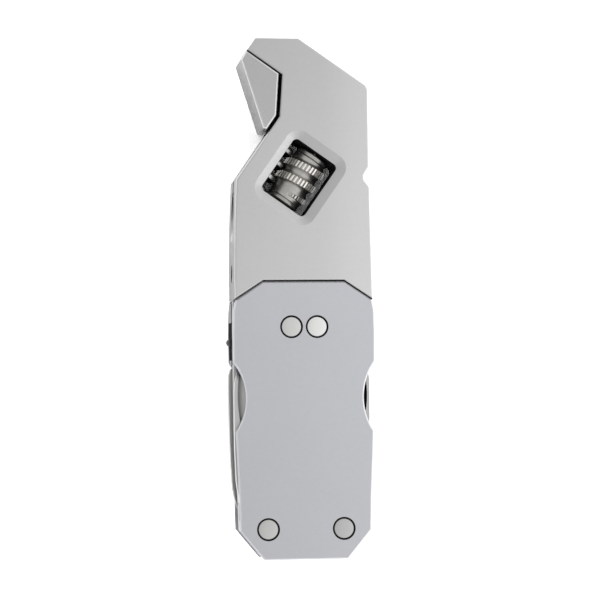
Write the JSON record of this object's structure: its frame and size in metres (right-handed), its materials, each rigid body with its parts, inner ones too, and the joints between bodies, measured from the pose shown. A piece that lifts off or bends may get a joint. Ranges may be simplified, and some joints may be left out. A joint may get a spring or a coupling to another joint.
{
  "type": "adjustable wrench multi tool",
  "caption": "Flat pocket multi tool: adjustable wrench head with a worm-driven jaw on a handle that holds folding tools and a small torch between two metal scales.",
  "frame": {"origin": "on the handle's long middle line, level with the side corners of the scales' upper edge, in the plane of the rear scale's flat face", "axes": "+Y along the handle towards the wrench head, +Z out of the front scale, +X to the right seen from the front (the movable jaw is on the -X side)"},
  "size_m": [0.0292, 0.1045, 0.012],
  "materials": {
    "wrench_steel": "satin bead-blasted plating",
    "jaw_steel": "satin",
    "worm_steel": "turned and knurled",
    "scale_metal": "fine satin",
    "spring_steel": "ground",
    "pin_steel": "turned, slightly crowned",
    "tool_steel": "ground",
    "torch_plastic": "fine texture",
    "lens": "clear",
    "cell_can": "plated",
    "contact_brass": "plain",
    "switch_metal": "dark, turned"
  },
  "bodies": {
    "frame": {"wrench_body": "wrench_steel", "worm_pin": "pin_steel", "worm_washer": "pin_steel", "front_scale": "scale_metal", "rear_scale": "scale_metal", "front_spring_plate": "spring_steel", "rear_spring_plate": "spring_steel", "pivot_pins": "pin_steel", "upper_pins": "pin_steel", "pivot_spacer": "pin_steel", "torch_housing": "torch_plastic", "torch_lens": "lens", "button_cell": "cell_can", "contact_strip": "contact_brass"},
    "jaw": {"movable_jaw": "jaw_steel"},
    "worm": {"worm": "worm_steel"},
    "knife": {"knife_blade": "tool_steel"},
    "saw": {"saw_blade": "tool_steel"},
    "opener": {"bottle_opener": "tool_steel"},
    "driver": {"cross_driver": "tool_steel"},
    "switch": {"switch_slider": "switch_metal"}
  },
  "joints": [
    {"name": "jaw_slide", "type": "slide", "parent": "frame", "child": "jaw", "axis": [-0.5736, -0.8192, 0], "range_m": [0, 0.0098]},
    {"name": "worm_spin", "type": "hinge", "parent": "frame", "child": "worm", "pos_m": [-0.00055, 0.02462, 0.006], "axis": [0.5736, 0.8192, 0], "continuous": true},
    {"name": "knife_pivot", "type": "hinge", "parent": "frame", "child": "knife", "pos_m": [-0.00761, -0.04569, 0.00935], "axis": [0, 0, 1], "range_deg": [0, 180]},
    {"name": "saw_pivot", "type": "hinge", "parent": "frame", "child": "saw", "pos_m": [0.00761, -0.04569, 0.00935], "axis": [0, 0, -1], "range_deg": [0, 180]},
    {"name": "opener_pivot", "type": "hinge", "parent": "frame", "child": "opener", "pos_m": [-0.00761, -0.04569, 0.00275], "axis": [0, 0, 1], "range_deg": [0, 180]},
    {"name": "driver_pivot", "type": "hinge", "parent": "frame", "child": "driver", "pos_m": [0.00761, -0.04569, 0.0034], "axis": [0, 0, -1], "range_deg": [0, 180]},
    {"name": "switch_slide", "type": "slide", "parent": "frame", "child": "switch", "axis": [0, 1, 0], "range_m": [-0.0026, 0.0026]}
  ],
  "couplings": [
    {"joint": "worm_spin", "follows": "jaw_slide", "rad_per_m": 1994.7}
  ]
}
